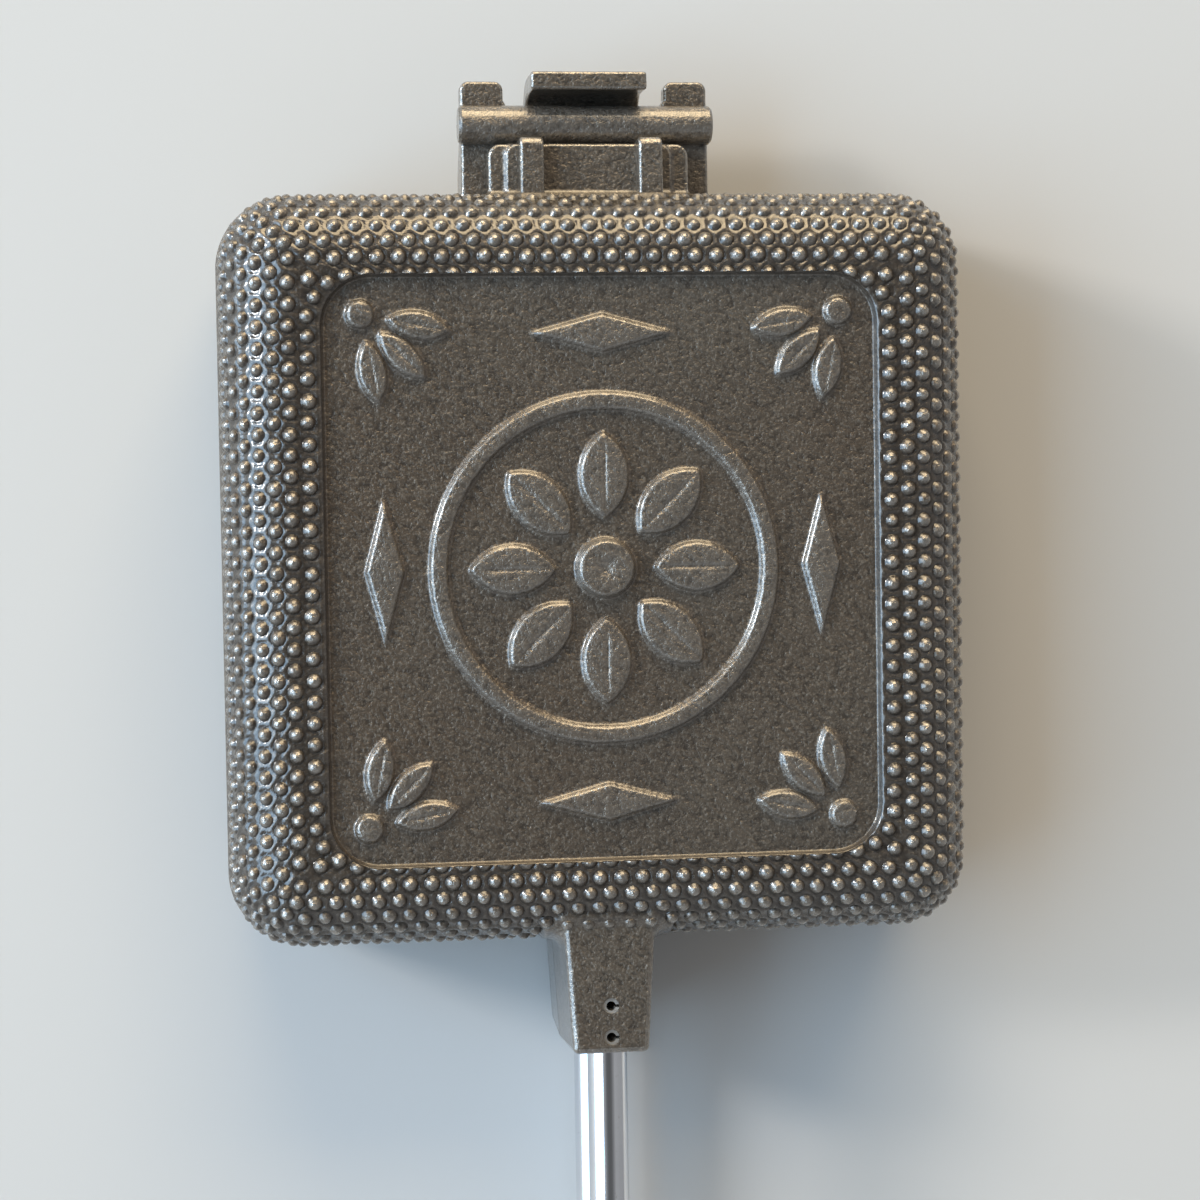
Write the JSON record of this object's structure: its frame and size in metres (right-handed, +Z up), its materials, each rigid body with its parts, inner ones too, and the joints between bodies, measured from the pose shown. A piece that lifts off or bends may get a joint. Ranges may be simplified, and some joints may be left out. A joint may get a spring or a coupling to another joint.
{
  "type": "pie iron",
  "caption": "Long-handled camp pie iron: two square cast-iron shells with a studded skin and rosette panels, hook hinge, steel rods, wooden grips and a swing latch.",
  "frame": {"origin": "centre of the face on which the lower shell rests: the middle boss, level with the tips of the inner studs, at the level of the table", "axes": "+Z up, +Y from the grips to the hinge, +X to the right when seen from above with the hinge at the top"},
  "size_m": [0.133, 0.724, 0.0403],
  "materials": {
    "cast_iron": "seasoned, semi-gloss sand-cast skin",
    "rod_plating": "bright plated, polished along the rod",
    "pin_steel": "plain spring steel, dull",
    "ferrule_steel": "drawn and nickel plated, satin",
    "grip_wood": "turned hardwood, thin varnish",
    "latch_steel": "stamped sheet, zinc plated"
  },
  "bodies": {
    "lower_iron": {"lower_half": "cast_iron", "lower_rod": "rod_plating", "lower_front_roll_pin": "pin_steel", "lower_rear_roll_pin": "pin_steel", "lower_ferrule": "ferrule_steel", "lower_grip": "grip_wood", "lower_grip_pin": "pin_steel", "front_collar": "pin_steel", "rear_collar": "pin_steel"},
    "upper_iron": {"upper_half": "cast_iron", "upper_rod": "rod_plating", "upper_front_roll_pin": "pin_steel", "upper_rear_roll_pin": "pin_steel", "upper_ferrule": "ferrule_steel", "upper_grip": "grip_wood", "upper_grip_pin": "pin_steel"},
    "latch": {"latch_hook": "latch_steel"}
  },
  "joints": [
    {"name": "main_hinge", "type": "hinge", "parent": "lower_iron", "child": "upper_iron", "pos_m": [0, 0.0792, 0.02015], "axis": [-1, 0, 0], "range_deg": [0, 135]},
    {"name": "latch_swing", "type": "hinge", "parent": "lower_iron", "child": "latch", "pos_m": [0, -0.4793, 0.0104], "axis": [0, -1, 0], "range_deg": [0, 90]}
  ]
}
